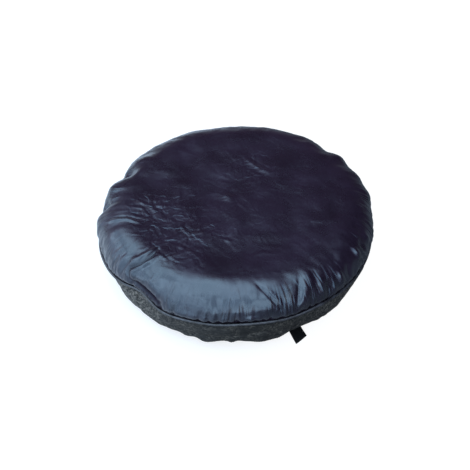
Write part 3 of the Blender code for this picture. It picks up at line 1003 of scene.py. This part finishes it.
def make_floor_paper():
    """Studio paper, dull, white to the camera, with a faint shadow.

    It is painted paler on the left, towards the window, and darker on the right as painted shade, so less
    light comes back from it on the right."""
    material, tree, shader = new_material("studio_paper")
    place = node(tree, "TexCoord").outputs["Object"]
    side = node(tree, "SeparateXYZ", [("Vector", place)])
    # Painted shade: the paper darkens towards the right, and its camera-ray glow rises there so that it still
    # looks white.
    right = node(tree, "MapRange", [("Value", side.outputs["X"])], interpolation_type="SMOOTHSTEP",
                 in_From_Min=-0.45, in_From_Max=0.32)
    tint = node(tree, "ValToRGB", [("Fac", right.outputs["Result"])],
                stops=[(0.0, colour("#cfcfcf")), (1.0, colour("#5e5e5e"))])
    lift = node(tree, "MapRange", [("Value", right.outputs["Result"])], in_To_Min=0.48, in_To_Max=0.95)
    path = node(tree, "LightPath")
    lit = node(tree, "Math", [(0, path.outputs["Is Camera Ray"]), (1, lift.outputs["Result"])],
               operation="MULTIPLY")
    tree.links.new(tint.outputs["Color"], shader.inputs["Base Color"])
    tree.links.new(lit.outputs["Value"], shader.inputs["Emission Strength"])
    shader.inputs["Emission Color"].default_value = colour("#ffffff")
    shader.inputs["Roughness"].default_value = 0.95
    shader.inputs["Specular IOR Level"].default_value = 0.1
    return material


# Stage

def make_floor():
    bpy.ops.mesh.primitive_plane_add(size=40, location=(0, 0, -0.0005))
    floor = bpy.context.object
    floor.name = "studio_floor"
    floor.data.materials.append(make_floor_paper())


def heading(azimuth, rise):
    """Direction at an azimuth and a rise in degrees."""
    turn, tilt = math.radians(azimuth), math.radians(rise)
    return (math.cos(turn) * math.cos(tilt), math.sin(turn) * math.cos(tilt), math.sin(tilt))


def make_world():
    """A room with one wide window in front and to the left, bright and bluish, in a dim mauve frame.

    The walls are dim, darkest on the right. Low down they are paler, least so behind and on the right."""
    world = bpy.data.worlds.new("window_room")
    scene.world = world
    world.use_nodes = True
    tree = world.node_tree
    tree.nodes.clear()
    way = node(tree, "TexCoord").outputs["Generated"]
    axes = node(tree, "SeparateXYZ", [("Vector", way)]).outputs
    towards = node(tree, "VectorMath", [(0, way)], operation="DOT_PRODUCT", in_1=heading(-136, 44.5))
    share = {}
    for part, source, start, end, at_start, at_end in (
        ("window", towards.outputs["Value"], 0.35, 0.54, 0.0, 1.0),
        ("frame", towards.outputs["Value"], 0.17, 0.42, 0.0, 1.0),
        ("open_side", axes["X"], -0.95, -0.35, 1.12, 1.0),
        ("right", axes["X"], -0.05, 0.75, 0.0, 1.0),
        ("left", axes["X"], -0.3, 0.8, 1.0, 0.12),
        ("near", axes["Y"], -0.1, 0.7, 1.0, 0.40),
        ("low", axes["Z"], 0.05, 0.42, 1.0, 0.0),
    ):
        graded = node(tree, "MapRange", [("Value", source)], interpolation_type="SMOOTHSTEP",
                      in_From_Min=start, in_From_Max=end, in_To_Min=at_start, in_To_Max=at_end)
        share[part] = graded.outputs["Result"]
    side = node(tree, "Math", [(0, share["near"]), (1, share["left"])], operation="MULTIPLY")
    strip = node(tree, "Math", [(0, share["low"]), (1, side.outputs["Value"])], operation="MULTIPLY")
    dim = node(tree, "Mix", [("Factor", share["right"])], data_type="RGBA",
               in_6=(0.070, 0.037, 0.076, 1), in_7=(0.022, 0.013, 0.026, 1))
    room = node(tree, "Mix", [("Factor", strip.outputs["Value"]), (6, dim.outputs[2])],
                data_type="RGBA", in_7=(0.55, 0.62, 0.70, 1))
    wall = node(tree, "Mix", [("Factor", share["frame"]), (6, room.outputs[2])],
                data_type="RGBA", in_7=(0.52, 0.40, 0.58, 1))
    cloud = node(tree, "TexNoise", [("Vector", way)], in_Scale=3.4, in_Detail=1.0)
    sky = node(tree, "ValToRGB", [("Fac", cloud.outputs["Fac"])],
               stops=[(0.38, (0.62, 0.84, 1.14, 1)), (0.60, (2.30, 2.90, 3.55, 1))])
    glare = node(tree, "VectorMath", [(0, sky.outputs["Color"]), ("Scale", share["open_side"])],
                 operation="SCALE")
    light = node(tree, "Mix",
                 [("Factor", share["window"]), (6, wall.outputs[2]), (7, glare.outputs["Vector"])],
                 data_type="RGBA")
    path = node(tree, "LightPath")
    seen = node(tree, "Mix", [("Factor", path.outputs["Is Camera Ray"]), (6, light.outputs[2])],
                data_type="RGBA", in_7=(1, 1, 1, 1))
    background = node(tree, "Background", [("Color", seen.outputs[2])])
    node(tree, "OutputWorld", [("Surface", background.outputs["Background"])])


def make_camera():
    """As the photograph: above the front, with a slight roll."""
    camera = bpy.data.cameras.new("photo_camera")
    camera.sensor_width = 36
    camera.lens = 53.2
    camera.shift_x = -1.6 / PICTURE_PIXELS
    camera.shift_y = -8.7 / PICTURE_PIXELS
    obj = bpy.data.objects.new("photo_camera", camera)
    scene.collection.objects.link(obj)
    back = Vector(heading(-90, CAMERA_RISE))
    obj.location = Vector((0, 0, CAMERA_AIM)) + CAMERA_DISTANCE * back
    level = (-back).to_track_quat("-Z", "Y").to_matrix().to_4x4()
    roll = Matrix.Rotation(math.radians(CAMERA_ROLL), 4, "Z")
    obj.rotation_euler = (level @ roll).to_euler()
    scene.camera = obj


scene.view_settings.view_transform = "Standard"
black_vinyl = make_black_vinyl()
welt_vinyl = make_welt_vinyl()
grained_vinyl = make_grained_vinyl()
knit_backing = make_knit_backing()
black_webbing = make_woven("black_webbing", "#040404", "#0d0d0d", 1.8, 0.75)
knitted_elastic = make_woven("knitted_elastic", "#0c0c0d", "#1c1c1e", 1.4, 0.85)
sewing_thread = make_woven("sewing_thread", "#0d0d0f", "#232326", 0.8, 0.6)
cotton_cord = make_woven("cotton_cord", "#bdb7a8", "#d8d2c4", 1.6, 0.9)
make_face_panel()
make_welt()
make_side_band("band_front", "side_band_front", JOIN_AZIMUTH)
make_side_band("band_rear", "side_band_rear", JOIN_AZIMUTH + math.pi)
make_hem_elastic()
make_pull_tab()
band_row("seam_topstitch", SEAM_HEIGHT - 0.006)
band_row("hem_stitch", CASING * 1.12)
make_floor()
make_world()
make_camera()
